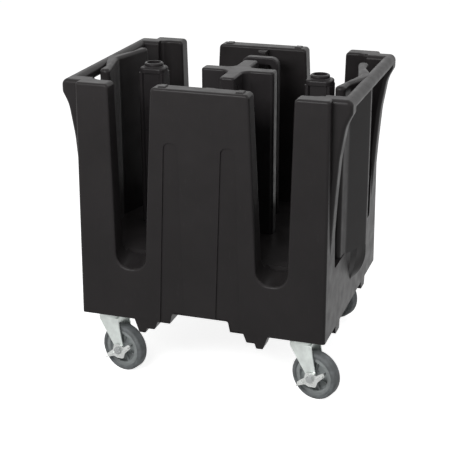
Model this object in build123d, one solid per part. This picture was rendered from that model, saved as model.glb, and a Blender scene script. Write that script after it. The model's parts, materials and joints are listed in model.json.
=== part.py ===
"""Dish caddy cart: a one-piece moulded body with four open plate bays, four loose towers that
stand in sockets in the bay floor, and four swivel casters, the front two with brake levers.

Frame: millimetres, +Z up, origin on the floor under the middle of the body. +X runs along the
front, towards the right-hand handle. The front faces -Y.
"""
import os

from math import cos, radians, sin

from build123d import *

# ---------------------------------------------------------------- caster sizes that the body uses
WHEEL_R = 63.5           # 127 mm wheel
CASTER_HEAD = 45.0       # from the top of the wheel to the face of the top plate

# ---------------------------------------------------------------- body, overall
BASE_HEIGHT = 168.0      # from the skirt to the bay floor
WALL_HEIGHT = 446.0      # from the bay floor to the rim
BASE_LENGTH = 652.0      # plan at the skirt, along X
BASE_DEPTH = 592.0       # plan at the skirt, along Y
TOP_LENGTH = 645.0       # plan at the rim
TOP_DEPTH = 571.0
CORNER_R = 8.0           # upright outer corners
RIM_R = 7.0              # rounding of rims and slot edges
WALL = 46.0              # front and back wall at the rim
END_WALL_IN = 24.5       # from the end face at the rim to the bay
BAY_R = 30.0             # upright corners of the bays

CUT_PAST = 90.0          # how far cutting shapes run past the rim

SKIRT_Z = 2 * WHEEL_R + CASTER_HEAD
FLOOR_Z = SKIRT_Z + BASE_HEIGHT
RIM_Z = FLOOR_Z + WALL_HEIGHT
END_X = TOP_LENGTH / 2
FACE_Y = TOP_DEPTH / 2
BAY_X = END_X - END_WALL_IN
BAY_Y = FACE_Y - WALL

# ---------------------------------------------------------------- slots in the front and back walls
SLOT_TOP_IN = 124.5      # slot flanks at the rim, from the middle of the wall
SLOT_TOP_OUT = 235.5
SLOT_LOW_IN = 148.0      # slot flanks where the round bottom starts
SLOT_LOW_OUT = 226.0
SLOT_SILL = 12.0         # the bottom of a slot lies this far below the bay floor
SLOT_CORNER_R = 11.0     # rounded panel corners at the rim
SLOT_BOTTOM_Z = FLOOR_Z - SLOT_SILL

# ---------------------------------------------------------------- ends: gaps, walls and handles
POST_RETURN_LOW = 34.5   # inner return of a corner post, from the bay wall, at the floor
POST_RETURN_TOP = 7.5    # the same at the rim
POST_STRAIGHT = 186.0    # height below the rim over which the return is straight
POST_RETURN_KNEE = 95.0  # height above the bay floor at which it starts to narrow
END_TIP_Y = 140.0        # free edges of the end wall
END_TIP_SET = 0.5        # their outer face lies this far inside the end face
END_WALL = 29.0          # its thickness
END_ROUND = 9.0          # rounding of its top
END_BEND_Y = 90.0        # where the wall starts to bulge outwards
END_BEND = 2.5           # how far it stands out there
END_BULGE = 37.5         # and on its outermost line
KEEL = (                 # foot of the bulge: depth below the floor, reach, half width at the end face
    (136.0, -14.5, 4.0),
    (106.0, 4.5, 22.0),
    (78.0, 24.5, 40.0),
    (38.0, END_BULGE, 65.0),
    (0.0, END_BULGE, 89.0),
)
HANDLE_R = 16.0
HANDLE_OUT = 31.5        # from the end face to the axis of the handle bar
FLARE_IN = 21.5          # outer side of the flares, from the front or back face
FLARE_WIDTH = 48.0
FLARE_ROUND = 11.0
FLARE = (                # how the flares grow: depth below the rim, reach from the end face, rounding
    (436.0, 0.5, 300.0),
    (246.0, 11.0, 400.0),
    (146.0, 18.5, 250.0),
    (64.0, 32.0, 90.0),
)

GAP_HALF_LOW = BAY_Y - POST_RETURN_LOW
GAP_HALF_TOP = BAY_Y - POST_RETURN_TOP
GAP_FULL_Z = RIM_Z - POST_STRAIGHT
END_TIP_OUT = END_X - END_TIP_SET
END_TIP_IN = END_TIP_OUT - END_WALL
END_BEND_X = END_X + END_BEND
END_APEX_X = END_X + END_BULGE
HANDLE_X = END_X + HANDLE_OUT
FLARE_OUT_Y = FACE_Y - FLARE_IN
FLARE_IN_Y = FLARE_OUT_Y - FLARE_WIDTH

# ---------------------------------------------------------------- ribs, lugs and rails
RIB_PROUD = 3.5
RIB_DROP = 134.0         # top of the ribs below the rim
RIB_TOP = (55.0, 92.0)   # rib flanks at its top, from the middle of the wall
RIB_LOW = (41.0, 108.0)  # and at the skirt
RIB_R = 15.0
ARCH_HALF = 78.0         # raised stretch in the middle of the skirt
ARCH_RISE = 28.0
LUG_LENGTH = 65.0        # stepped lugs under the skirt, along the wall
LUG_TO_PLATE = 32.0      # between a lug and the caster plate beside it
LUG_STEP = 23.0          # shallow and deep part of the lugs below the skirt
LUG_DEEP = 36.0
LUG_DEPTH = 45.0         # how far a lug runs in under the body
END_LUG_LENGTH = 45.0    # plain lugs under the ends
END_LUG_TO_PLATE = 19.0
END_LUG_DROP = 26.0
END_LUG_DEPTH = 40.0
NUB_LENGTH = 18.0        # low stacking nubs on the rim
NUB_RISE = 3.0
NUB_IN = 26.0            # from a panel's edge to the middle of its nub
RAIL_X = 8.0             # upright rail on the inside of each centre panel
RAIL_WIDTH = 24.0
RAIL_DEPTH = 28.0
RIB_TOP_Z = RIM_Z - RIB_DROP

# ---------------------------------------------------------------- towers
END_TOWER_DROP = 6.0     # top of the towers below the rim
MID_TOWER_DROP = 6.0
WELL_DEPTH = 4.0         # shallow wells in the bay floor under the towers' feet
TOWER_SEAT = 0.3         # a tower's foot rests this far above the bottom of its well
TOWER_ROUND = 6.0
PEG_DEPTH = 36.0
PEG_GAP = 1.0            # between a peg and its socket, all round
SIDE_TOWER_WIDTH = 68.0
SIDE_TOWER_DEPTH = 52.0
SIDE_TOWER_IN = 72.0     # from the end of the bay to the middle of the tower
SIDE_TOWER_HOLE_R = 18.5
SIDE_TOWER_COLLAR_R = 25.0  # raised collar round the hollow in its top
SIDE_TOWER_COLLAR = 11.0    # and how far it stands up
SIDE_TOWER_STRIP = 9.0   # width of the edge strips beside its recessed faces
SIDE_TOWER_RECESS = 7.0
SIDE_PEG = (40.0, 24.0)
CROSS_ARM = 40.0         # width of the arms of the centre tower
CROSS_X = 98.0           # half span of the arms
CROSS_Y = 106.0
CROSS_FILLET = 18.0
CROSS_AT = (12.0, -4.0)
CROSS_PEG = (80.0, 22.0)
ARCH_TOWER_WIDTH = 102.0
ARCH_TOWER_DEPTH = 24.0
ARCH_TOWER_BAR = 18.0    # width of its uprights, and height of its top bar
ARCH_TOWER_R = 22.0
ARCH_TOWER_AT = (25.0, 148.0)
ARCH_PEG = (60.0, 14.0)
PEG_R = 5.0
TOWER_LOW = FLOOR_Z - WELL_DEPTH + TOWER_SEAT
END_TOWER_TOP_Z = RIM_Z - END_TOWER_DROP
MID_TOWER_TOP_Z = RIM_Z - MID_TOWER_DROP
SIDE_TOWER_X = BAY_X - SIDE_TOWER_IN

# ---------------------------------------------------------------- casters
CASTER_IN_X = 64.0       # swivel axis from the end of the skirt
CASTER_IN_Y = 58.0       # and from its front or back
TYRE_WIDTH = 32.0
TREAD = 13.5             # thickness of the tyre
TRAIL = 34.0
PLATE = (100.0, 86.0, 4.0)
PLATE_R = 8.0
BOLT_EDGE = 12.0         # bolt axes from the edges of the plate
BOLT_R = 4.0
BOLT_HEAD = (6.5, 5.5)   # across-corners radius and height
BOLT_GRIP = 28.0
RACE_R = 30.0
RACE_H = 8.0
BALL_RING_H = 4.0
BALL_RING_W = 9.0
FORK_WALL = 3.5
FORK_SIDE_GAP = 5.0      # between tyre and fork leg
FORK_EYE_R = 13.0        # round end of a leg
FORK_BEND = 12.0
KINGPIN_R = 7.0
RIVET_H = 4.0
AXLE_R = 6.0
AXLE_HEAD = (10.5, 7.0)  # across-corners radius and height
AXLE_NUT_H = 9.0
RUN_GAP = 0.05           # radial clearance of a running fit
FACE_GAP = 0.3           # between faces that turn past each other
FIT_GAP = 0.02           # between pieces that are fixed together
BUSH_WALL = 3.0
HUB_R = 14.0
HUB_GAP = 2.0            # between hub and fork leg, taken up by the spacers
WEB = 10.0               # thickness of the wheel's web
RIM_WIDTH = 26.0
RIM_WALL = 8.0
CAM_T = 1.5
LEVER_T = 3.0
PADDLE_REACH = 12.0
LEVER_TILT = 8.0         # how far the lever is turned up from flat at rest
CASTERS = {              # name: (side, end, rest angle of the trail from +X, has a brake)
    "front_right": (1, -1, -16.0, True),
    "front_left": (-1, -1, -16.0, True),
    "rear_right": (1, 1, 158.0, False),
    "rear_left": (-1, 1, 158.0, False),
}
CASTER_X = BASE_LENGTH / 2 - CASTER_IN_X
CASTER_Y = BASE_DEPTH / 2 - CASTER_IN_Y
LUG_OUT = CASTER_X - PLATE[0] / 2 - LUG_TO_PLATE
LUG_IN = LUG_OUT - LUG_LENGTH
END_LUG_OUT = CASTER_Y - PLATE[1] / 2 - END_LUG_TO_PLATE
END_LUG_IN = END_LUG_OUT - END_LUG_LENGTH
RIM_RADIUS = WHEEL_R - TREAD
PLATE_LOW = SKIRT_Z - PLATE[2]
RACE_LOW = PLATE_LOW - RACE_H
FORK_TOP = RACE_LOW - BALL_RING_H - FACE_GAP
LEG_IN = TYRE_WIDTH / 2 + FORK_SIDE_GAP
LEG_OUT = LEG_IN + FORK_WALL
HUB_HALF = LEG_IN - HUB_GAP
BOLT_AT = (PLATE[0] / 2 - BOLT_EDGE, PLATE[1] / 2 - BOLT_EDGE)

SIGNS = [(1, 1), (1, -1), (-1, 1), (-1, -1)]


# ---------------------------------------------------------------- drawing helpers
def outline(points, radii=0.0):
    """Closed face with rounded corners; radii is one number or one for each point."""
    return make_face(FilletPolyline(*points, radius=radii, close=True))


def prism_z(face, low, high):
    return Pos(0, 0, low) * extrude(face, high - low)


def prism_y(face, low, high):
    """Face drawn as (x, z), run along Y from low to high."""
    plane = Plane((0, high, 0), x_dir=(1, 0, 0), z_dir=(0, -1, 0))
    return extrude(plane * face, high - low)


def prism_x(face, low, high):
    """Face drawn as (y, z), run along X from low to high."""
    plane = Plane((low, 0, 0), x_dir=(0, 1, 0), z_dir=(1, 0, 0))
    return extrude(plane * face, high - low)


def box(x, y, z):
    """Box between two values on each axis."""
    middle = [(a + b) / 2 for a, b in (x, y, z)]
    size = [b - a for a, b in (x, y, z)]
    return Pos(*middle) * Box(*size)


def mirrored(shape, side, end):
    """Shape drawn for +X and +Y, mirrored into the quarter that side and end name."""
    if side < 0:
        shape = mirror(shape, about=Plane.YZ)
    if end < 0:
        shape = mirror(shape, about=Plane.XZ)
    return shape


def plan_at(z):
    """Length and depth of the tapered body at a height."""
    share = (z - SKIRT_Z) / (RIM_Z - SKIRT_Z)
    length = BASE_LENGTH + share * (TOP_LENGTH - BASE_LENGTH)
    depth = BASE_DEPTH + share * (TOP_DEPTH - BASE_DEPTH)
    return length, depth


# ---------------------------------------------------------------- body shell
def tapered_block(proud=0.0, top_z=RIM_Z):
    """Drafted block of the body; the faces can stand proud by a little."""
    length, depth = plan_at(top_z)
    low_x, low_y = BASE_LENGTH / 2 + proud, BASE_DEPTH / 2 + proud
    top_x, top_y = length / 2 + proud, depth / 2 + proud
    front_view = [(-low_x, SKIRT_Z), (low_x, SKIRT_Z), (top_x, top_z), (-top_x, top_z)]
    end_view = [(-low_y, SKIRT_Z), (low_y, SKIRT_Z), (top_y, top_z), (-top_y, top_z)]
    front_prism = prism_y(make_face(Polyline(*front_view, close=True)), -BASE_DEPTH, BASE_DEPTH)
    end_prism = prism_x(make_face(Polyline(*end_view, close=True)), -BASE_LENGTH, BASE_LENGTH)
    block = front_prism & end_prism
    middle = (SKIRT_Z + top_z) / 2
    uprights = block.edges().filter_by(lambda e: abs(e.center().Z - middle) < 1.0)
    return fillet(uprights, CORNER_R)


def above_rim():
    """Face (x, z) of everything above the rim line: it dips into both slots of a wall."""
    low_r = (SLOT_LOW_OUT - SLOT_LOW_IN) / 2 * 0.94
    slot = [
        (SLOT_TOP_IN, RIM_Z, SLOT_CORNER_R),
        (SLOT_LOW_IN, SLOT_BOTTOM_Z, low_r),
        (SLOT_LOW_OUT, SLOT_BOTTOM_Z, low_r),
        (SLOT_TOP_OUT, RIM_Z, SLOT_CORNER_R),
    ]
    right = slot + [(BASE_LENGTH, RIM_Z, 0), (BASE_LENGTH, RIM_Z + CUT_PAST, 0)]
    left = [(-x, z, r) for x, z, r in reversed(right)]
    line = left + right
    return outline([(x, z) for x, z, r in line], [r for x, z, r in line])


def end_gap_cut():
    """Opens the end of the body above the floor, between the two corner posts."""
    side = [
        (GAP_HALF_LOW, FLOOR_Z, 10),
        (GAP_HALF_LOW + 4, FLOOR_Z + POST_RETURN_KNEE, 200),
        (GAP_HALF_TOP, GAP_FULL_Z, 200),
        (GAP_HALF_TOP, RIM_Z + CUT_PAST, 0),
    ]
    line = side + [(-y, z, r) for y, z, r in reversed(side)]
    face = outline([(y, z) for y, z, r in line], [r for y, z, r in line])
    return prism_x(face, BAY_X - 2 * BAY_R, END_APEX_X)


def end_wall_outline():
    """Plan of one end wall: a shallow V with its point outwards, of even thickness."""
    slope = (END_BULGE - END_BEND) / END_BEND_Y
    inner_apex = END_APEX_X - END_WALL * (1 + slope * slope) ** 0.5 - 1.0
    points = [
        (END_TIP_IN, -END_TIP_Y),
        (END_TIP_OUT, -END_TIP_Y),
        (END_BEND_X, -END_BEND_Y),
        (END_APEX_X, -6),
        (END_APEX_X, 6),
        (END_BEND_X, END_BEND_Y),
        (END_TIP_OUT, END_TIP_Y),
        (END_TIP_IN, END_TIP_Y),
        (inner_apex, 0),
    ]
    tip = 0.4 * END_WALL
    radii = [tip, tip, 30, 14, 14, 30, tip, tip, 22]
    return outline(points, radii)


def end_wall():
    """End wall above the floor, and the bow-shaped foot that grows out of the end face."""
    wall = prism_z(end_wall_outline(), FLOOR_Z - 4, RIM_Z)
    wall = fillet(wall.faces().sort_by(Axis.Z)[-1].edges(), END_ROUND)
    sections = []
    for drop, reach, half in KEEL:
        points = [
            (END_TIP_IN, -half),
            (END_BEND_X - 1, -half),
            (END_X + reach, -4),
            (END_X + reach, 4),
            (END_BEND_X - 1, half),
            (END_TIP_IN, half),
        ]
        sections.append(Pos(0, 0, FLOOR_Z - drop) * make_face(Polyline(*points, close=True)))
    return wall + loft(sections)


def handle():
    """Handle bar along one end, and the flares that join it to the corner posts."""
    bar = Rot(90, 0, 0) * Cylinder(HANDLE_R, 2 * FLARE_OUT_Y - FLARE_WIDTH)
    bar = Pos(HANDLE_X, 0, RIM_Z - HANDLE_R) * bar
    out = HANDLE_X + HANDLE_R
    root = BAY_X + 0.5
    start_z = RIM_Z - FLARE[0][0]
    line = [(root, start_z, 0)]
    line = line + [(END_X + reach, RIM_Z - drop, bend) for drop, reach, bend in FLARE]
    line = line + [(out, RIM_Z - 2.1 * HANDLE_R, 14), (out, RIM_Z, HANDLE_R), (root, RIM_Z, 0)]
    line[1] = (line[1][0], start_z, 0)
    flare_face = outline([(x, z) for x, z, r in line], [r for x, z, r in line])
    solid = bar
    for end in (1, -1):
        flare = prism_y(flare_face, FLARE_IN_Y, FLARE_OUT_Y)
        sides = flare.faces().sort_by(Axis.Y)
        rims = sides[0].edges() + sides[-1].edges()
        rims = rims.filter_by(lambda e: e.center().X > root + 1 and e.center().Z > start_z + 1)
        flare = fillet(rims, FLARE_ROUND)
        solid = solid + mirrored(flare, 1, end)
    return solid


def ribs(end):
    """Two tapered ribs on one centre panel, raised a little off the drafted face."""
    reach = tapered_block(RIB_PROUD)
    face = outline(
        [
            (RIB_LOW[0], SKIRT_Z),
            (RIB_LOW[1], SKIRT_Z),
            (RIB_TOP[1], RIB_TOP_Z),
            (RIB_TOP[0], RIB_TOP_Z),
        ],
        [0, 0, RIB_R, RIB_R],
    )
    rib = prism_y(face, FACE_Y - 12, BASE_DEPTH / 2 + 10) & reach
    return [mirrored(rib, side, end) for side in (1, -1)]


def skirt_lugs():
    """Stepped lugs under the front and back skirts and plain ones under the ends."""
    z = SKIRT_Z
    third = (LUG_OUT - LUG_IN) / 3
    step = outline(
        [
            (LUG_IN, z + 12),
            (LUG_IN, z),
            (LUG_IN + 9, z - LUG_STEP),
            (LUG_IN + 1.4 * third, z - LUG_STEP),
            (LUG_IN + 1.6 * third, z - LUG_DEEP),
            (LUG_OUT - 13, z - LUG_DEEP),
            (LUG_OUT, z),
            (LUG_OUT, z + 12),
        ],
        [0, 3, 4, 2, 3, 4, 3, 0],
    )
    front = prism_y(step, BASE_DEPTH / 2 - LUG_DEPTH, BASE_DEPTH / 2 - 1.5)
    low, high = END_LUG_IN, END_LUG_OUT
    plain = outline(
        [(low - 5, z + 12), (low - 5, z), (low, z - END_LUG_DROP), (high - 5, z - END_LUG_DROP), (high, z), (high, z + 12)],
        [0, 3, 4, 4, 3, 0],
    )
    side = prism_x(plain, BASE_LENGTH / 2 - END_LUG_DEPTH, BASE_LENGTH / 2 - 1.5)
    return front + side


def well_faces():
    """Plan of the shallow wells in the bay floor that the towers' feet stand in."""
    feet = [
        Pos(SIDE_TOWER_X, 0) * side_foot(),
        Pos(-SIDE_TOWER_X, 0) * side_foot(),
        Pos(*CROSS_AT) * cross_foot(),
        Pos(*ARCH_TOWER_AT) * Rectangle(ARCH_TOWER_WIDTH, ARCH_TOWER_DEPTH),
    ]
    return [offset(foot, PEG_GAP) for foot in feet]


def socket_faces():
    """Plan of every tower peg, by tower name; the sockets are cut a little larger."""
    cross_x, cross_y = CROSS_AT
    arch_x, arch_y = ARCH_TOWER_AT
    long, short = CROSS_PEG
    cross = RectangleRounded(long, short, PEG_R) + RectangleRounded(short, long, PEG_R)
    side = RectangleRounded(*SIDE_PEG, PEG_R)
    return {
        "tower_right": Pos(SIDE_TOWER_X, 0) * side,
        "tower_left": Pos(-SIDE_TOWER_X, 0) * side,
        "tower_centre": Pos(cross_x, cross_y) * cross,
        "tower_arch": Pos(arch_x, arch_y) * RectangleRounded(*ARCH_PEG, PEG_R),
    }


def body_shell():
    block = tapered_block(0.0, RIM_Z + 60)
    bay = prism_z(RectangleRounded(2 * BAY_X, 2 * BAY_Y, BAY_R), FLOOR_Z, RIM_Z + 90)
    block = block - bay
    for side in (1, -1):
        block = block - mirrored(end_gap_cut(), side, 1)
        block = block - mirrored(prism_y(above_rim(), BAY_Y - 9, BASE_DEPTH), 1, side)
    top_edges = block.edges().filter_by(lambda e: e.center().Z > RIM_Z - 1.0)
    block = fillet(top_edges, RIM_R)
    for side in (1, -1):
        block = block + mirrored(end_wall() + handle(), side, 1)
    for end in (1, -1):
        for rib in ribs(end):
            block = block + rib
        rail_low = BAY_Y - RAIL_DEPTH
        across = (RAIL_X - RAIL_WIDTH / 2, RAIL_X + RAIL_WIDTH / 2)
        rail = box(across, (rail_low, BAY_Y + 8), (FLOOR_Z - 5, RIM_Z - RIM_R))
        inner_edges = rail.edges().filter_by(lambda e: e.center().Y < rail_low + 1)
        block = block + mirrored(fillet(inner_edges, 5), 1, end)
    arch = outline(
        [
            (-ARCH_HALF - 4, SKIRT_Z - 5),
            (-ARCH_HALF + 3, SKIRT_Z + ARCH_RISE),
            (ARCH_HALF - 3, SKIRT_Z + ARCH_RISE),
            (ARCH_HALF + 4, SKIRT_Z - 5),
        ],
        [0, 6, 6, 0],
    )
    block = block - prism_y(arch, -BASE_DEPTH, BASE_DEPTH)
    lug = skirt_lugs()
    nub = Box(NUB_LENGTH, WALL - 3 * RIM_R, 2 * NUB_RISE)
    nub = Pos(SLOT_TOP_IN - NUB_IN, FACE_Y - WALL / 2, RIM_Z) * nub
    nub = fillet(nub.faces().sort_by(Axis.Z)[-1].edges(), NUB_RISE * 0.9)
    for side, end in SIGNS:
        block = block + mirrored(lug, side, end) + mirrored(nub, side, end)
    for face in well_faces():
        block = block - prism_z(face, FLOOR_Z - WELL_DEPTH, FLOOR_Z + 20)
    for face in socket_faces().values():
        socket = offset(face, PEG_GAP)
        block = block - prism_z(socket, FLOOR_Z - PEG_DEPTH - 4, FLOOR_Z + 20)
    for side, end, _, _ in CASTERS.values():
        place = Pos(side * CASTER_X, end * CASTER_Y, SKIRT_Z)
        pocket = Pos(0, 0, RIVET_H / 2) * Cylinder(KINGPIN_R + 6, RIVET_H + 4)
        for x, y in SIGNS:
            hole = Pos(x * BOLT_AT[0], y * BOLT_AT[1], BOLT_GRIP / 2)
            pocket = pocket + hole * Cylinder(BOLT_R + RUN_GAP, BOLT_GRIP + 2)
        block = block - place * pocket
    return block


# ---------------------------------------------------------------- towers
def peg(name):
    return prism_z(socket_faces()[name], FLOOR_Z - PEG_DEPTH, FLOOR_Z + 6)


def side_foot():
    """Plan of an end tower: a strip at each corner, recessed faces towards the bays."""
    half, deep = SIDE_TOWER_WIDTH / 2, SIDE_TOWER_DEPTH / 2
    inset = SIDE_TOWER_RECESS
    lip = half - SIDE_TOWER_STRIP
    quarter = [(half, -deep), (lip, -deep), (lip - inset / 2, -deep + inset)]
    line = quarter + [(-x, y) for x, y in reversed(quarter)]
    line = line + [(-x, -y) for x, y in line]
    return outline(line, [5, 2, 2, 2, 2, 5] * 2)


def side_tower(name, side):
    """Upright with recessed faces towards the bays and a collar round the hollow in its top."""
    shoulder = END_TOWER_TOP_Z - SIDE_TOWER_COLLAR
    column = prism_z(side_foot(), TOWER_LOW, shoulder - 14)
    crown = prism_z(RectangleRounded(SIDE_TOWER_WIDTH, SIDE_TOWER_DEPTH, 14), shoulder - 14, shoulder)
    crown = fillet(crown.faces().sort_by(Axis.Z)[-1].edges(), TOWER_ROUND)
    collar = Pos(0, 0, (shoulder - 8 + END_TOWER_TOP_Z) / 2)
    collar = collar * Cylinder(SIDE_TOWER_COLLAR_R, SIDE_TOWER_COLLAR + 8)
    collar = fillet(collar.faces().sort_by(Axis.Z)[-1].edges(), SIDE_TOWER_COLLAR_R - SIDE_TOWER_HOLE_R - 2.5)
    solid = Pos(side * SIDE_TOWER_X, 0, 0) * (column + crown + collar)
    hole = Pos(side * SIDE_TOWER_X, 0, END_TOWER_TOP_Z - 20) * Cylinder(SIDE_TOWER_HOLE_R, 60)
    return solid - hole + peg(name)


def cross_foot():
    """Plan of the centre tower, its inner corners hollowed for round plates."""
    a, x, y = CROSS_ARM / 2, CROSS_X, CROSS_Y
    web = a + 0.75 * CROSS_FILLET
    points = [
        (a, -y), (a, -web), (web, -a), (x, -a), (x, a), (web, a), (a, web), (a, y),
        (-a, y), (-a, web), (-web, a), (-x, a), (-x, -a), (-web, -a), (-a, -web), (-a, -y),
    ]
    return outline(points, [9, CROSS_FILLET, CROSS_FILLET, 9] * 4)


def tower_centre():
    """Cross-shaped divider between the four bays."""
    column = prism_z(cross_foot(), TOWER_LOW, MID_TOWER_TOP_Z)
    column = fillet(column.faces().sort_by(Axis.Z)[-1].edges(), TOWER_ROUND)
    solid = Pos(CROSS_AT[0], CROSS_AT[1], 0) * column
    return solid + peg("tower_centre")


def tower_arch():
    """Wide divider with a round-cornered top, open in the middle like a staple."""
    half, deep, bar = ARCH_TOWER_WIDTH / 2, ARCH_TOWER_DEPTH / 2, ARCH_TOWER_BAR
    low, top = TOWER_LOW, MID_TOWER_TOP_Z
    outer = outline([(-half, low), (half, low), (half, top), (-half, top)], [0, 0, ARCH_TOWER_R, ARCH_TOWER_R])
    inner_low, inner_top = low + 1.5 * bar, top - bar
    inner = outline(
        [(bar - half, inner_low), (half - bar, inner_low), (half - bar, inner_top), (bar - half, inner_top)],
        [5, 5, 10, 10],
    )
    frame = prism_y(outer, -deep, deep) - prism_y(inner, -deep - 5, deep + 5)
    frame = fillet(frame.faces().sort_by(Axis.Y)[0].outer_wire().edges().filter_by(lambda e: e.center().Z > low + 1), 4)
    frame = fillet(frame.faces().sort_by(Axis.Y)[-1].outer_wire().edges().filter_by(lambda e: e.center().Z > low + 1), 4)
    return Pos(ARCH_TOWER_AT[0], ARCH_TOWER_AT[1], 0) * frame + peg("tower_arch")


# ---------------------------------------------------------------- casters, drawn with the swivel
# axis on Z, the wheel's axle along Y and the trail towards +X
def ring(inner, outer, low, high):
    return Pos(0, 0, (low + high) / 2) * (Cylinder(outer, high - low) - Cylinder(inner, high - low + 2))


def across(inner, outer, low, high):
    """Ring or washer on the wheel's axle, between two values of Y."""
    return Pos(TRAIL, 0, WHEEL_R) * Rot(-90, 0, 0) * ring(inner, outer, low, high)


def across_pin(radius, low, high):
    """Cylinder on the wheel's axle, between two values of Y."""
    return Pos(TRAIL, (low + high) / 2, WHEEL_R) * Rot(90, 0, 0) * Cylinder(radius, high - low)


def across_hex(radius, low, high):
    half = (high - low) / 2
    return Pos(TRAIL, low + half, WHEEL_R) * Rot(90, 0, 0) * extrude(RegularPolygon(radius, 6), half, both=True)


def top_plate():
    plate = prism_z(RectangleRounded(PLATE[0], PLATE[1], PLATE_R), PLATE_LOW, SKIRT_Z)
    for x, y in SIGNS:
        plate = plate - Pos(x * BOLT_AT[0], y * BOLT_AT[1], PLATE_LOW) * Cylinder(BOLT_R + RUN_GAP, 20)
    return plate - Pos(0, 0, PLATE_LOW) * Cylinder(KINGPIN_R + FIT_GAP, 20)


def plate_bolts():
    """Four hex bolts, separate solids."""
    bolts = []
    radius, height = BOLT_HEAD
    top = SKIRT_Z + BOLT_GRIP - 1
    for x, y in SIGNS:
        head = prism_z(RegularPolygon(radius, 6), PLATE_LOW - height, PLATE_LOW)
        shank = Pos(0, 0, (PLATE_LOW + top) / 2) * Cylinder(BOLT_R, top - PLATE_LOW)
        bolts.append(Pos(x * BOLT_AT[0], y * BOLT_AT[1], 0) * (head + shank))
    return Compound(children=bolts)


def kingpin():
    """Rivet through fork, race and plate, with a head at each end."""
    low = FORK_TOP - FORK_WALL - FACE_GAP
    shank = Pos(0, 0, (low + SKIRT_Z) / 2) * Cylinder(KINGPIN_R, SKIRT_Z - low + 2 * RIVET_H)
    lower = Pos(0, 0, low - RIVET_H / 2) * Cylinder(KINGPIN_R + 6, RIVET_H)
    upper = Pos(0, 0, SKIRT_Z + RIVET_H / 2) * Cylinder(KINGPIN_R + 4, RIVET_H)
    return shank + lower + upper


def race_cup():
    return ring(KINGPIN_R + FIT_GAP, RACE_R, RACE_LOW, PLATE_LOW)


def ball_ring():
    outer = RACE_R - 4
    return ring(outer - BALL_RING_W, outer, RACE_LOW - BALL_RING_H, RACE_LOW)


def fork():
    """Pressed yoke: rounded top, two tapering legs and a seat for the race."""
    top = FORK_TOP
    bend = FORK_BEND
    outer = outline([(-LEG_OUT, 0), (-LEG_OUT, top), (LEG_OUT, top), (LEG_OUT, 0)], [0, bend, bend, 0])
    bend = FORK_BEND - FORK_WALL
    inner = outline(
        [(-LEG_IN, -5), (-LEG_IN, top - FORK_WALL), (LEG_IN, top - FORK_WALL), (LEG_IN, -5)],
        [0, bend, bend, 0],
    )
    reach = RACE_R + TRAIL + FORK_EYE_R
    channel = prism_x(outer, -reach, reach) - prism_x(inner, -reach - 1, reach + 1)
    end_r = FORK_EYE_R
    side = outline(
        [
            (-RACE_R - 1, top + 2),
            (-RACE_R, top - 18),
            (TRAIL - end_r - 2, WHEEL_R + 4),
            (TRAIL - end_r, WHEEL_R - end_r),
            (TRAIL + end_r, WHEEL_R - end_r),
            (TRAIL + end_r, WHEEL_R + 8),
            (RACE_R + 3, top - 18),
            (RACE_R + 1, top + 2),
        ],
        [0, 12, 20, end_r - 0.5, end_r - 0.5, 20, 12, 0],
    )
    yoke = channel & prism_y(side, -60, 60)
    seat = Pos(0, 0, top - FORK_WALL / 2) * Cylinder(RACE_R + 2, FORK_WALL)
    yoke = yoke + seat
    yoke = yoke - Pos(0, 0, top) * Cylinder(KINGPIN_R + RUN_GAP, 30)
    return yoke - axle_hole()


def axle_hole():
    return across_pin(AXLE_R + FIT_GAP, -3 * LEG_OUT, 3 * LEG_OUT)


def on_axle(face, angle=360):
    """Half-profile drawn as (radius, y) and turned about the wheel's axle."""
    plane = Plane((TRAIL, 0, WHEEL_R), x_dir=(1, 0, 0), z_dir=(0, 0, 1))
    return revolve(plane * face, Axis((TRAIL, 0, WHEEL_R), (0, 1, 0)), angle)


def wheel_core():
    """Hub, thin web set back from the sides, and rim."""
    bore = AXLE_R + RUN_GAP + BUSH_WALL + FIT_GAP
    rim_in = RIM_RADIUS - RIM_WALL
    hub, web, rim = HUB_HALF - 1, WEB / 2, RIM_WIDTH / 2
    half = [(bore, hub), (HUB_R, hub), (HUB_R + 3, web), (rim_in - 4, web), (rim_in, rim), (RIM_RADIUS, rim)]
    return on_axle(outline([(r, -y) for r, y in half] + half[::-1]))


def tyre():
    half = TYRE_WIDTH / 2
    low = RIM_RADIUS + FIT_GAP
    points = [(low, -half + 3), (low + 5, -half), (WHEEL_R, -half), (WHEEL_R, half), (low + 5, half), (low, half - 3)]
    return on_axle(outline(points, [0, 2, 7, 7, 2, 0]))


def wheel_bush():
    return across(AXLE_R + RUN_GAP, AXLE_R + RUN_GAP + BUSH_WALL, -HUB_HALF, HUB_HALF)


def spacers():
    inner, outer = AXLE_R + FIT_GAP, AXLE_R + 4
    low, high = HUB_HALF + FACE_GAP, LEG_IN
    return Compound(children=[across(inner, outer, low, high), across(inner, outer, -high, -low)])


def head_side(brake):
    """How far out the bolt head seats: past the lever where there is one."""
    return LEG_OUT + (CAM_T + LEVER_T + 2 * FACE_GAP if brake else 0)


def axle_bolt(brake):
    seat = head_side(brake)
    radius, height = AXLE_HEAD
    tail = LEG_OUT + AXLE_NUT_H + 1
    shank = across_pin(AXLE_R, -seat - 0.5, tail)
    return shank + across_hex(radius, -seat - height, -seat)


def axle_nut():
    return across_hex(AXLE_HEAD[0], LEG_OUT, LEG_OUT + AXLE_NUT_H) - axle_hole()


def brake_cam():
    return across(AXLE_R + FIT_GAP, 2 * AXLE_R, -LEG_OUT - CAM_T, -LEG_OUT)


def tilted(points):
    """Points drawn with the lever lying flat, turned about the axle to its rest."""
    c, z = cos(radians(LEVER_TILT)), sin(radians(LEVER_TILT))
    return [(x * c - y * z, x * z + y * c) for x, y in points]


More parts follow.
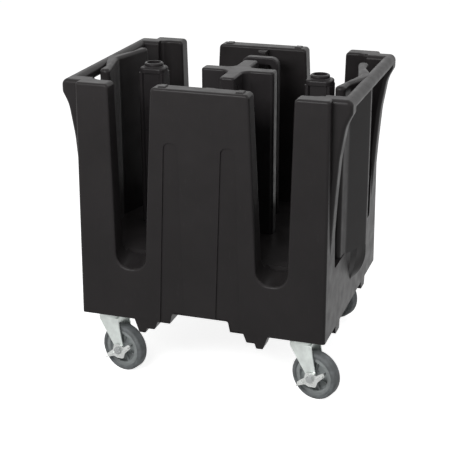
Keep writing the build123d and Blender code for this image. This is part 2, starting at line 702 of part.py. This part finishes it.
def brake_lever():
    """Star-shaped pressed lever with two broad wings to step on."""
    points = [
        (-42, -25), (-41, -14), (-18, 0), (-13, 14), (6, 16), (18, 9),
        (40, 20), (43, 10), (20, -8), (13, -23), (-8, -23), (-18, -18),
    ]
    radii = [4, 4, 6, 6, 6, 4, 4, 4, 6, 6, 6, 6]
    face = Pos(TRAIL, WHEEL_R) * outline(tilted(points), radii)
    low = LEG_OUT + CAM_T + FACE_GAP
    lever = prism_y(face, -low - LEVER_T, -low)
    for x0, z0, x1, z1 in ((-41.0, -22.5, -17.0, -9.5), (18.0, 1.0, 41.5, 13.0)):
        lip = outline(tilted([(x0, z0 - 1.5), (x1, z1 - 1.5), (x1, z1 + 1.5), (x0, z0 + 1.5)]), 0.7)
        lever = lever + prism_y(Pos(TRAIL, WHEEL_R) * lip, -low - PADDLE_REACH, -low - 0.5)
    return lever - across_pin(AXLE_R + RUN_GAP, -3 * LEG_OUT, 3 * LEG_OUT)


def caster(name, side, end, angle, brake):
    """Every piece of one caster, at its place under the body."""
    fixed = {
        "plate": top_plate(), "bolts": plate_bolts(), "kingpin": kingpin(), "race": race_cup(),
        "ball_ring": ball_ring(),
    }
    turned = {
        "fork": fork(), "wheel_core": wheel_core(), "tyre": tyre(), "bush": wheel_bush(),
        "spacers": spacers(), "axle_bolt": axle_bolt(brake), "axle_nut": axle_nut(),
    }
    if brake:
        turned["brake_cam"] = brake_cam()
        turned["brake_lever"] = brake_lever()
    place = Pos(side * CASTER_X, end * CASTER_Y, 0)
    pieces = {f"{name}_{key}": place * shape for key, shape in fixed.items()}
    pieces.update({f"{name}_{key}": place * Rot(0, 0, angle) * shape for key, shape in turned.items()})
    return pieces


# ---------------------------------------------------------------- write the parts
def main():
    pieces = {
        "body_shell": body_shell(),
        "tower_right": side_tower("tower_right", 1),
        "tower_left": side_tower("tower_left", -1),
        "tower_centre": tower_centre(),
        "tower_arch": tower_arch(),
    }
    for name, (side, end, angle, brake) in CASTERS.items():
        pieces.update(caster(name, side, end, angle, brake))
    os.makedirs("parts", exist_ok=True)
    for name, shape in pieces.items():
        export_step(shape, f"parts/{name}.step")


if __name__ == "__main__":
    main()
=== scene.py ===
"""Looks of the dish caddy cart: materials, moulding detail, caster hardware, floor, light, camera.

Everything is in metres in the row frame: +Z up, +X along the front, the front faces -Y.
"""
import json
import math

import bmesh
import bpy
from mathutils import Matrix, Vector

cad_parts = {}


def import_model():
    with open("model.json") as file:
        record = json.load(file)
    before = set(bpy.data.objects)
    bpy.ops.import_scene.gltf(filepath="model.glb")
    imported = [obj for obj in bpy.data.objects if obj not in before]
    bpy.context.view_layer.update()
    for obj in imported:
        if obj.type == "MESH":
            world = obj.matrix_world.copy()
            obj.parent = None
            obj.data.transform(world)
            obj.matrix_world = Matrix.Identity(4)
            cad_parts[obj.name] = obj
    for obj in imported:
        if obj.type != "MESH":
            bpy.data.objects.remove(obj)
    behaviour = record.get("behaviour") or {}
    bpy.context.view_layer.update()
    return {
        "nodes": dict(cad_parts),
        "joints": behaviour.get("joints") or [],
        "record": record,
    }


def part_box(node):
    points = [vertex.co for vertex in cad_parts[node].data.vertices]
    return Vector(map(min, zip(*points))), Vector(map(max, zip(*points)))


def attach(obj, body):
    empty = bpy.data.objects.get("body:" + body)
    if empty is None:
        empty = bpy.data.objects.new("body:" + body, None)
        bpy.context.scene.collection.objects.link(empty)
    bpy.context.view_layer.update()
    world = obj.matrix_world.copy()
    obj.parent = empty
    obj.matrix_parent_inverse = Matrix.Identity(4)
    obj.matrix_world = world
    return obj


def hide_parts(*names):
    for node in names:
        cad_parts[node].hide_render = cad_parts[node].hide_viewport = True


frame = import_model()
NODES = frame["nodes"]
JOINTS = {joint["name"]: joint for joint in frame["joints"]}

CASTERS = ("front_right", "front_left", "rear_right", "rear_left")
BRAKED = ("front_right", "front_left")
END_TOWERS = ("tower_right", "tower_left")

# ---------------------------------------------------------------- camera, from the photograph
CAMERA_AT = (0.9441, -2.9081, 1.4924)
CAMERA_YAW = math.radians(18.52)
CAMERA_PITCH = math.radians(-20.55)
CAMERA_ROLL = math.radians(-0.26)
IMAGE_SIZE = 450
FOCAL_PIXELS = 1204.0
SENSOR = 36.0

# ---------------------------------------------------------------- places on the body, in metres
SKIRT_Z = 0.172          # underside of the body
RIM_Z = 0.786            # top of its walls
SKIRT_HALF = 0.296       # half depth of the body at the skirt
RIM_HALF = 0.2855        # and at the rim
BAY_HALF = 0.2395        # half depth inside, to the inner face of the front and back walls
ARCH_SIDE = (0.055, 0.100)  # the sides of the raised stretch of the skirt lie between these
ARCH_TOP = 0.203         # and below this height
FLUTE_HALF = 0.112       # the flutes lie within this distance of the middle
FLUTE_TOP = 0.656        # and below this height
RELIEF_LEAST = 0.00005   # a point further out from a face than this belongs to its relief
SLOT_IN = 0.143          # the slots lie between these distances from the middle
SLOT_OUT = 0.231
SLOT_LOW = 0.318         # their round bottoms lie between these heights
SLOT_HIGH = 0.392
SLOT_DROP = 0.019        # how much deeper the skin takes them at the outer face
SLOT_INNER_EDGE = 0.0005  # points this close to the inner face stay in place
SLOT_OUTER_EDGE = 0.012  # the drop is full from this far inside the skirt's outer face
LOOKS_DOWN = -0.9        # Z of a face's normal, below which it looks down
LOOKS_ALONG = 0.5        # Y of a face's normal, below which it doesn't look out

# ---------------------------------------------------------------- added pieces, in metres
# A turned profile holds (radius, place along the axis) points, from the middle of the wheel or
# of the piece that carries it.
BEAD_RADII = (0.0535, 0.0575)  # two beads on each sidewall
BEAD = ((-0.0011, 0.0157), (-0.0005, 0.0164), (0.0005, 0.0164), (0.0011, 0.0157))
RIM_LIP = ((0.0400, 0.0120), (0.0412, 0.0138), (0.0470, 0.0141), (0.0492, 0.0128))
HUB_BOSS = ((0.0095, 0.0181), (0.0100, 0.0184), (0.0122, 0.0184), (0.0138, 0.0176))
LOCK_RING = ((0.0063, 0.0334), (0.0063, 0.0350), (0.0080, 0.0352), (0.0091, 0.0336))
HEAD_FACE = 0.0315       # face of the axle bolt's head, from the middle of the wheel
BRAKED_HEAD_FACE = 0.0366  # the same beside a brake
HEAD_DOME = ((0.0, 0.0011), (0.0035, 0.0010), (0.0070, 0.0005), (0.0086, -0.0001))
DUST_COVER = (
    (0.0303, 0.0038), (0.0322, 0.0034), (0.0334, 0.0020), (0.0338, -0.0010),
    (0.0338, -0.0068), (0.0330, -0.0070), (0.0330, -0.0010), (0.0318, 0.0018),
)
COLLAR_DROP = 0.011      # foot of the collar, below the top of an end tower
COLLAR_BEAD = ((0.0247, 0.0030), (0.0262, 0.0022), (0.0272, 0.0004), (0.0276, -0.0004))
WEB_RIBS = 8             # ribs on each side of a wheel's web
RIB_ROOT = (0.0150, 0.0019, 0.0)  # radius, half thickness and rise of a rib at the hub
RIB_TIP = (0.0405, 0.0012, 0.0015)  # and at the rim
RIB_FOOT = 0.0046        # the ribs stand between these distances from the wheel's middle
RIB_CREST = 0.0105
RIB_TAPER = 0.7          # thickness at the crest, as a share of that at the foot
RIB_EDGE = 0.0005        # bevel of the edges
TURN_STEPS = 64          # facets round a turned piece
MERGE_WITHIN = 1e-7
SHARP_ANGLE = math.radians(35)

# ---------------------------------------------------------------- colours, as sRGB
BODY_COLOUR = (0.165, 0.156, 0.158)
TOWER_COLOUR = (0.175, 0.166, 0.170)
ZINC_COLOUR = (0.94, 0.965, 0.95)
BOLT_COLOUR = (0.74, 0.75, 0.75)
LEVER_COLOUR = (0.93, 0.94, 0.93)
WHEEL_COLOUR = (0.60, 0.62, 0.62)
TYRE_COLOUR = (0.44, 0.455, 0.46)
BUSH_COLOUR = (0.80, 0.79, 0.74)
FLOOR_COLOUR = (0.93, 0.93, 0.93)
FLOOR_BOUNCE = (0.60, 0.60, 0.60)  # what the floor throws back on the cart

# ---------------------------------------------------------------- floor and world
FLOOR_SIZE = 30.0        # metres
FLOOR_GLOW = 0.86        # strength that the camera sees
FLOOR_MIRRORED = 0.85    # strength that reflections see
WORLD_LIGHT = 0.16       # strength that lights the cart
WORLD_SEEN = 1.0         # strength that the camera and reflections see


def linear(colour):
    """sRGB numbers as the linear colour that sockets take."""
    return tuple(c / 12.92 if c <= 0.04045 else ((c + 0.055) / 1.055) ** 2.4 for c in colour)


# ---------------------------------------------------------------- materials
class Nodes:
    """Short names for the nodes of one material."""

    def __init__(self, name):
        self.material = bpy.data.materials.new(name)
        self.material.use_nodes = True
        self.tree = self.material.node_tree
        self.shader = self.tree.nodes["Principled BSDF"]
        self.place = self.add("ShaderNodeTexCoord").outputs["Object"]

    def add(self, kind, **settings):
        node = self.tree.nodes.new(kind)
        for key, value in settings.items():
            setattr(node, key, value)
        return node

    def link(self, source, target):
        self.tree.links.new(source, target)

    def noise(self, scale, detail=3.0, stretch=(1, 1, 1)):
        mapping = self.add("ShaderNodeMapping")
        mapping.inputs["Scale"].default_value = stretch
        self.link(self.place, mapping.inputs["Vector"])
        noise = self.add("ShaderNodeTexNoise")
        noise.inputs["Scale"].default_value = scale
        noise.inputs["Detail"].default_value = detail
        self.link(mapping.outputs["Vector"], noise.inputs["Vector"])
        return noise.outputs["Fac"]

    def ramp(self, source, low, high, low_value, high_value):
        node = self.add("ShaderNodeMapRange")
        node.inputs["From Min"].default_value = low
        node.inputs["From Max"].default_value = high
        node.inputs["To Min"].default_value = low_value
        node.inputs["To Max"].default_value = high_value
        self.link(source, node.inputs["Value"])
        return node.outputs["Result"]

    def spread(self, noise, low_value=0.0, high_value=1.0):
        """The middle of a noise, where most of it lies, spread from one value to the other."""
        return self.ramp(noise, 0.3, 0.7, low_value, high_value)

    def mix(self, factor, one, two):
        node = self.add("ShaderNodeMix", data_type="RGBA")
        self.link(factor, node.inputs["Factor"])
        for socket, value in ((node.inputs[6], one), (node.inputs[7], two)):
            if isinstance(value, bpy.types.NodeSocket):
                self.link(value, socket)
            else:
                socket.default_value = (*linear(value), 1.0)
        return node.outputs[2]

    def colour(self, source):
        self.link(source, self.shader.inputs["Base Color"])

    def rough(self, source):
        self.link(source, self.shader.inputs["Roughness"])

    def bump(self, layers):
        """Stacks bump layers, each (height, strength, depth in metres)."""
        before = None
        for height, strength, depth in layers:
            node = self.add("ShaderNodeBump")
            node.inputs["Strength"].default_value = strength
            node.inputs["Distance"].default_value = depth
            self.link(height, node.inputs["Height"])
            if before is not None:
                self.link(before, node.inputs["Normal"])
            before = node.outputs["Normal"]
        self.link(before, self.shader.inputs["Normal"])


def shade(colour, factor):
    return tuple(min(1.0, c * factor) for c in colour)


def moulded_plastic(name, colour, rough=0.34):
    """Rotationally moulded polyethylene: satin, finely grained, faintly mottled."""
    m = Nodes(name)
    mottle = m.noise(7.0, 4.0)
    base = m.mix(m.spread(mottle), shade(colour, 0.94), shade(colour, 1.05))
    scuffs = m.ramp(m.noise(160.0, 2.0, (1, 1, 0.25)), 0.62, 0.75, 0.0, 0.35)
    base = m.mix(scuffs, base, shade(colour, 1.22))
    m.colour(base)
    m.rough(m.spread(m.noise(28.0), rough - 0.05, rough + 0.07))
    m.shader.inputs["Specular IOR Level"].default_value = 0.15
    m.shader.inputs["IOR"].default_value = 1.51
    m.bump([(m.noise(26.0, 1.0), 0.10, 0.0010), (m.noise(1500.0, 2.0), 0.20, 0.00012)])
    return m.material


def zinc_plate(name, colour, rough=0.30, brushed=(1, 1, 1)):
    """Bright zinc: cloudy passivation, drawn-sheet grain and tiny pits."""
    m = Nodes(name)
    cloud = m.noise(45.0, 4.0)
    m.colour(m.mix(m.spread(cloud), shade(colour, 0.90), colour))
    m.rough(m.spread(m.noise(120.0, 3.0, brushed), rough - 0.06, rough + 0.10))
    m.shader.inputs["Metallic"].default_value = 0.75
    m.bump([(m.noise(600.0, 2.0, brushed), 0.12, 0.00015), (m.noise(2400.0, 1.0), 0.10, 0.00005)])
    return m.material


def tyre_rubber(name, colour):
    """Grey rubber: dusty, with fine moulding rings and grit."""
    m = Nodes(name)
    dust = m.noise(60.0, 5.0)
    m.colour(m.mix(m.ramp(dust, 0.35, 0.7, 0.0, 1.0), shade(colour, 0.92), shade(colour, 1.15)))
    m.rough(m.spread(m.noise(200.0), 0.55, 0.75))
    m.bump([(m.noise(380.0, 3.0), 0.18, 0.0003), (m.noise(2000.0, 1.0), 0.15, 0.0001)])
    return m.material


def nylon(name, colour, rough=0.38):
    """Injection-moulded nylon: even colour with faint flow marks and a soft gloss."""
    m = Nodes(name)
    flow = m.noise(30.0, 2.0, (1, 1, 4))
    m.colour(m.mix(m.spread(flow), shade(colour, 0.94), shade(colour, 1.06)))
    m.rough(m.spread(m.noise(90.0), rough - 0.05, rough + 0.08))
    m.bump([(m.noise(900.0, 2.0), 0.12, 0.0001)])
    return m.material


MATERIALS = {
    "body_plastic": moulded_plastic("body_plastic", BODY_COLOUR),
    "tower_plastic": moulded_plastic("tower_plastic", TOWER_COLOUR, 0.32),
    "zinc": zinc_plate("zinc_sheet", ZINC_COLOUR, 0.34, (1, 1, 0.15)),
    "bolt_steel": zinc_plate("zinc_fastener", BOLT_COLOUR, 0.30),
    "lever_steel": zinc_plate("zinc_lever", LEVER_COLOUR, 0.30),
    "wheel_plastic": nylon("wheel_nylon", WHEEL_COLOUR),
    "tyre_rubber": tyre_rubber("tyre_rubber", TYRE_COLOUR),
    "bush_nylon": nylon("bush_nylon", BUSH_COLOUR),
}


def dress(obj, slot):
    obj.data.materials.clear()
    obj.data.materials.append(MATERIALS[slot])


def dress_cad_nodes():
    for part in frame["record"]["subparts"]:
        dress(NODES[part["node"]], part["material_slot"])


# ---------------------------------------------------------------- pieces
def smooth(low, high, value):
    """0 below low, 1 above high, smooth between."""
    t = min(1.0, max(0.0, (value - low) / (high - low)))
    return t * t * (3.0 - 2.0 * t)


def new_piece(name, mesh, body, slot):
    obj = bpy.data.objects.new(name, mesh)
    bpy.context.scene.collection.objects.link(obj)
    dress(obj, slot)
    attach(obj, body)
    return obj


def face_depth(z):
    """How far out the front or back face of the body lies at height z."""
    return SKIRT_HALF - (z - SKIRT_Z) / (RIM_Z - SKIRT_Z) * (SKIRT_HALF - RIM_HALF)


def body_skin():
    """The body's skin: its flutes sunk into the panels, its slots run down to their full depth."""
    mesh = NODES["body_shell"].data.copy()
    mesh.name = "body_skin"
    normals = [Vector(corner.vector) for corner in mesh.corner_normals]
    # The cut ends of the relief end on the face itself.
    under = set()
    for polygon in mesh.polygons:
        x, _, z = polygon.center
        in_arch = ARCH_SIDE[0] < abs(x) < ARCH_SIDE[1] and z < ARCH_TOP
        arch_side = in_arch and abs(polygon.normal.y) < LOOKS_ALONG
        if polygon.normal.z < LOOKS_DOWN or arch_side:
            under.update(polygon.vertices)
    sunk = set()
    for vertex in mesh.vertices:
        x, y, z = vertex.co
        end = 1.0 if y > 0 else -1.0
        proud = abs(y) - face_depth(z)
        if proud > RELIEF_LEAST and abs(x) < FLUTE_HALF and z < FLUTE_TOP:
            if vertex.index in under:
                vertex.co.y = end * face_depth(z)
            else:
                sunk.add(vertex.index)
                vertex.co.y = end * (face_depth(z) - proud)
        in_slot = SLOT_IN < abs(x) < SLOT_OUT and SLOT_LOW < z < SLOT_HIGH
        if in_slot and abs(y) > BAY_HALF + SLOT_INNER_EDGE:
            drop = SLOT_DROP * smooth(BAY_HALF, SKIRT_HALF - SLOT_OUTER_EDGE, abs(y))
            vertex.co.z -= drop
            vertex.co.y += end * (face_depth(z - drop) - face_depth(z))
    # Sunk relief is lit the other way round.
    for polygon in mesh.polygons:
        if any(index in sunk for index in polygon.vertices):
            for loop in polygon.loop_indices:
                n = normals[loop]
                normals[loop] = Vector((-n.x, n.y, -n.z))
    mesh.normals_split_custom_set(normals)
    obj = new_piece("body_skin", mesh, "cart", "body_plastic")
    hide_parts("body_shell")
    return obj


def lathe(name, profile, centre, axis, body, slot):
    """A ring or cap turned about an axis: profile is (radius, along) points, in metres."""
    builder = bmesh.new()
    rows = []
    for k in range(TURN_STEPS):
        angle = 2 * math.pi * k / TURN_STEPS
        c, s = math.cos(angle), math.sin(angle)
        rows.append([builder.verts.new((r * c, r * s, h)) for r, h in profile])
    for k in range(TURN_STEPS):
        one, two = rows[k], rows[(k + 1) % TURN_STEPS]
        for a in range(len(profile) - 1):
            builder.faces.new((one[a], two[a], two[a + 1], one[a + 1]))
    bmesh.ops.remove_doubles(builder, verts=builder.verts, dist=MERGE_WITHIN)
    bmesh.ops.recalc_face_normals(builder, faces=builder.faces)
    turn = Vector((0, 0, 1)).rotation_difference(Vector(axis)).to_matrix().to_4x4()
    bmesh.ops.transform(builder, matrix=Matrix.Translation(centre) @ turn, verts=builder.verts)
    mesh = bpy.data.meshes.new(name)
    builder.to_mesh(mesh)
    builder.free()
    for polygon in mesh.polygons:
        polygon.use_smooth = True
    mesh.set_sharp_from_angle(angle=SHARP_ANGLE)
    return new_piece(name, mesh, body, slot)


def middle(node):
    low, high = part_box(node)
    return (low + high) / 2


def wheel_ribs(name, centre, axis, body):
    """Moulded ribs on each side of the wheel's web, between hub and rim."""
    builder = bmesh.new()
    for side in (-1, 1):
        for k in range(WEB_RIBS):
            ring = []
            for r, half, rise in (RIB_ROOT, RIB_TIP):
                top = half * RIB_TAPER
                foot, crest = side * (RIB_FOOT + rise), side * (RIB_CREST + rise)
                for across, height in ((-half, foot), (half, foot), (top, crest), (-top, crest)):
                    ring.append(builder.verts.new((r, across, height)))
            inner, outer = ring[:4], ring[4:]
            for a in range(4):
                b = (a + 1) % 4
                builder.faces.new((inner[a], inner[b], outer[b], outer[a]))
            builder.faces.new(inner)
            builder.faces.new(outer)
            turn = Matrix.Rotation(2 * math.pi / WEB_RIBS * k, 4, "Z")
            bmesh.ops.transform(builder, matrix=turn, verts=ring)
    bmesh.ops.recalc_face_normals(builder, faces=builder.faces)
    turn = Vector((0, 0, 1)).rotation_difference(axis).to_matrix().to_4x4()
    bmesh.ops.transform(builder, matrix=Matrix.Translation(centre) @ turn, verts=builder.verts)
    mesh = bpy.data.meshes.new(name)
    builder.to_mesh(mesh)
    builder.free()
    obj = new_piece(name, mesh, body, "wheel_plastic")
    bevel = obj.modifiers.new("edges", "BEVEL")
    bevel.width = RIB_EDGE
    bevel.segments = 2


def both_sides(name, profile, centre, axis, body, slot):
    """The same turned piece on the outer and the inner side of a wheel."""
    for word, side in (("out", -1), ("in", 1)):
        lathe(name + "_" + word, [(r, side * h) for r, h in profile], centre, axis, body, slot)


def caster_details(caster):
    """Beads, rim lip, hub boss, ribs, locking ring, domed head and dust cover of one caster."""
    axis = Vector(JOINTS[caster + "_wheel_roll"]["axis"]).normalized()
    centre = middle(caster + "_tyre")
    wheel, swivel = caster + "_wheel", caster + "_swivel"
    for k, radius in enumerate(BEAD_RADII):
        bead = [(radius + out, along) for out, along in BEAD]
        both_sides(f"{caster}_bead_{k}", bead, centre, axis, wheel, "tyre_rubber")
    both_sides(caster + "_rim_lip", RIM_LIP, centre, axis, wheel, "wheel_plastic")
    both_sides(caster + "_hub_boss", HUB_BOSS, centre, axis, wheel, "wheel_plastic")
    wheel_ribs(caster + "_web_ribs", centre, axis, wheel)
    lathe(caster + "_lock_ring", LOCK_RING, centre, axis, swivel, "bush_nylon")
    face = BRAKED_HEAD_FACE if caster in BRAKED else HEAD_FACE
    dome = [(r, -face - rise) for r, rise in HEAD_DOME]
    lathe(caster + "_head_dome", dome, centre, axis, swivel, "bolt_steel")
    race = middle(caster + "_race")
    lathe(caster + "_dust_cover", DUST_COVER, race, (0, 0, 1), "cart", "zinc")


def tower_details(node):
    """A moulded bead round the foot of the collar of an end tower."""
    low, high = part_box(node)
    centre = ((low.x + high.x) / 2, (low.y + high.y) / 2, high.z - COLLAR_DROP)
    lathe(node + "_collar_bead", COLLAR_BEAD, centre, (0, 0, 1), node, "tower_plastic")


# ---------------------------------------------------------------- floor, light and camera
def floor():
    """White to the camera; it keeps the cart's shadow and throws back less light than it shows."""
    mesh = bpy.data.meshes.new("floor")
    builder = bmesh.new()
    bmesh.ops.create_grid(builder, x_segments=1, y_segments=1, size=FLOOR_SIZE)
    builder.to_mesh(mesh)
    builder.free()
    obj = bpy.data.objects.new("floor", mesh)
    bpy.context.scene.collection.objects.link(obj)
    material = bpy.data.materials.new("floor")
    material.use_nodes = True
    tree = material.node_tree
    for node in list(tree.nodes):
        tree.nodes.remove(node)
    new = tree.nodes.new
    bounce = new("ShaderNodeBsdfDiffuse")
    bounce.inputs["Color"].default_value = (*linear(FLOOR_BOUNCE), 1.0)
    seen = new("ShaderNodeBsdfDiffuse")
    seen.inputs["Color"].default_value = (*linear(FLOOR_COLOUR), 1.0)
    glow = new("ShaderNodeEmission")
    glow.inputs["Strength"].default_value = FLOOR_GLOW
    lit = new("ShaderNodeAddShader")
    mirrored = new("ShaderNodeEmission")
    mirrored.inputs["Strength"].default_value = FLOOR_MIRRORED
    path = new("ShaderNodeLightPath")
    for_camera = new("ShaderNodeMixShader")
    for_gloss = new("ShaderNodeMixShader")
    out = new("ShaderNodeOutputMaterial")
    link = tree.links.new
    link(seen.outputs[0], lit.inputs[0])
    link(glow.outputs[0], lit.inputs[1])
    link(path.outputs["Is Glossy Ray"], for_gloss.inputs[0])
    link(bounce.outputs[0], for_gloss.inputs[1])
    link(mirrored.outputs[0], for_gloss.inputs[2])
    link(path.outputs["Is Camera Ray"], for_camera.inputs[0])
    link(for_gloss.outputs[0], for_camera.inputs[1])
    link(lit.outputs[0], for_camera.inputs[2])
    link(for_camera.outputs[0], out.inputs["Surface"])
    mesh.materials.append(material)


def world():
    """Even pale surround; the camera and reflections see it as white."""
    scene_world = bpy.data.worlds.new("studio")
    bpy.context.scene.world = scene_world
    scene_world.use_nodes = True
    tree = scene_world.node_tree
    path = tree.nodes.new("ShaderNodeLightPath")
    either = tree.nodes.new("ShaderNodeMath")
    either.operation = "MAXIMUM"
    tree.links.new(path.outputs["Is Camera Ray"], either.inputs[0])
    tree.links.new(path.outputs["Is Glossy Ray"], either.inputs[1])
    strength = tree.nodes.new("ShaderNodeMapRange")
    strength.inputs["To Min"].default_value = WORLD_LIGHT
    strength.inputs["To Max"].default_value = WORLD_SEEN
    tree.links.new(either.outputs[0], strength.inputs["Value"])
    background = tree.nodes["Background"]
    background.inputs["Color"].default_value = (1, 1, 1, 1)
    tree.links.new(strength.outputs["Result"], background.inputs["Strength"])


def softbox(name, at, towards, size, power):
    """An area light: where it stands, the point it faces, its width and height, its watts."""
    light = bpy.data.lights.new(name, "AREA")
    light.shape = "RECTANGLE"
    light.size, light.size_y = size
    light.energy = power
    obj = bpy.data.objects.new(name, light)
    bpy.context.scene.collection.objects.link(obj)
    obj.location = at
    obj.rotation_euler = (Vector(towards) - Vector(at)).to_track_quat("-Z", "Y").to_euler()


def lights():
    softbox("front", (-0.3, -1.75, 1.55), (0, -0.28, 0.74), (1.2, 0.6), 25)
    softbox("side", (2.6, -0.9, 2.2), (0.2, 0, 0.5), (1.4, 1.4), 9)
    softbox("fill", (-2.6, -2.4, 2.2), (0, 0, 0.4), (1.6, 1.6), 8)
    softbox("top", (0.2, 0.9, 3.0), (0, 0, 0.5), (2.2, 1.4), 3)
    softbox("back_left", (-1.7, 2.0, 3.3), (0, 0, 0.3), (1.4, 1.4), 12)
    softbox("back_right", (2.0, 2.0, 3.3), (0, 0, 0.3), (1.4, 1.4), 12)


def camera():
    data = bpy.data.cameras.new("photo_view")
    data.sensor_width = SENSOR
    data.lens = FOCAL_PIXELS / IMAGE_SIZE * SENSOR
    obj = bpy.data.objects.new("photo_view", data)
    bpy.context.scene.collection.objects.link(obj)
    turn = Matrix.Rotation(CAMERA_YAW, 4, "Z")
    tilt = Matrix.Rotation(math.pi / 2 + CAMERA_PITCH, 4, "X")  # unturned, it looks straight down
    roll = Matrix.Rotation(CAMERA_ROLL, 4, "Z")
    obj.matrix_world = Matrix.Translation(CAMERA_AT) @ turn @ tilt @ roll
    bpy.context.scene.camera = obj


# ---------------------------------------------------------------- build
dress_cad_nodes()
body_skin()
for name in CASTERS:
    caster_details(name)
for name in END_TOWERS:
    tower_details(name)
floor()
world()
lights()
camera()
bpy.context.scene.view_settings.view_transform = "Standard"

bpy.context.view_layer.update()
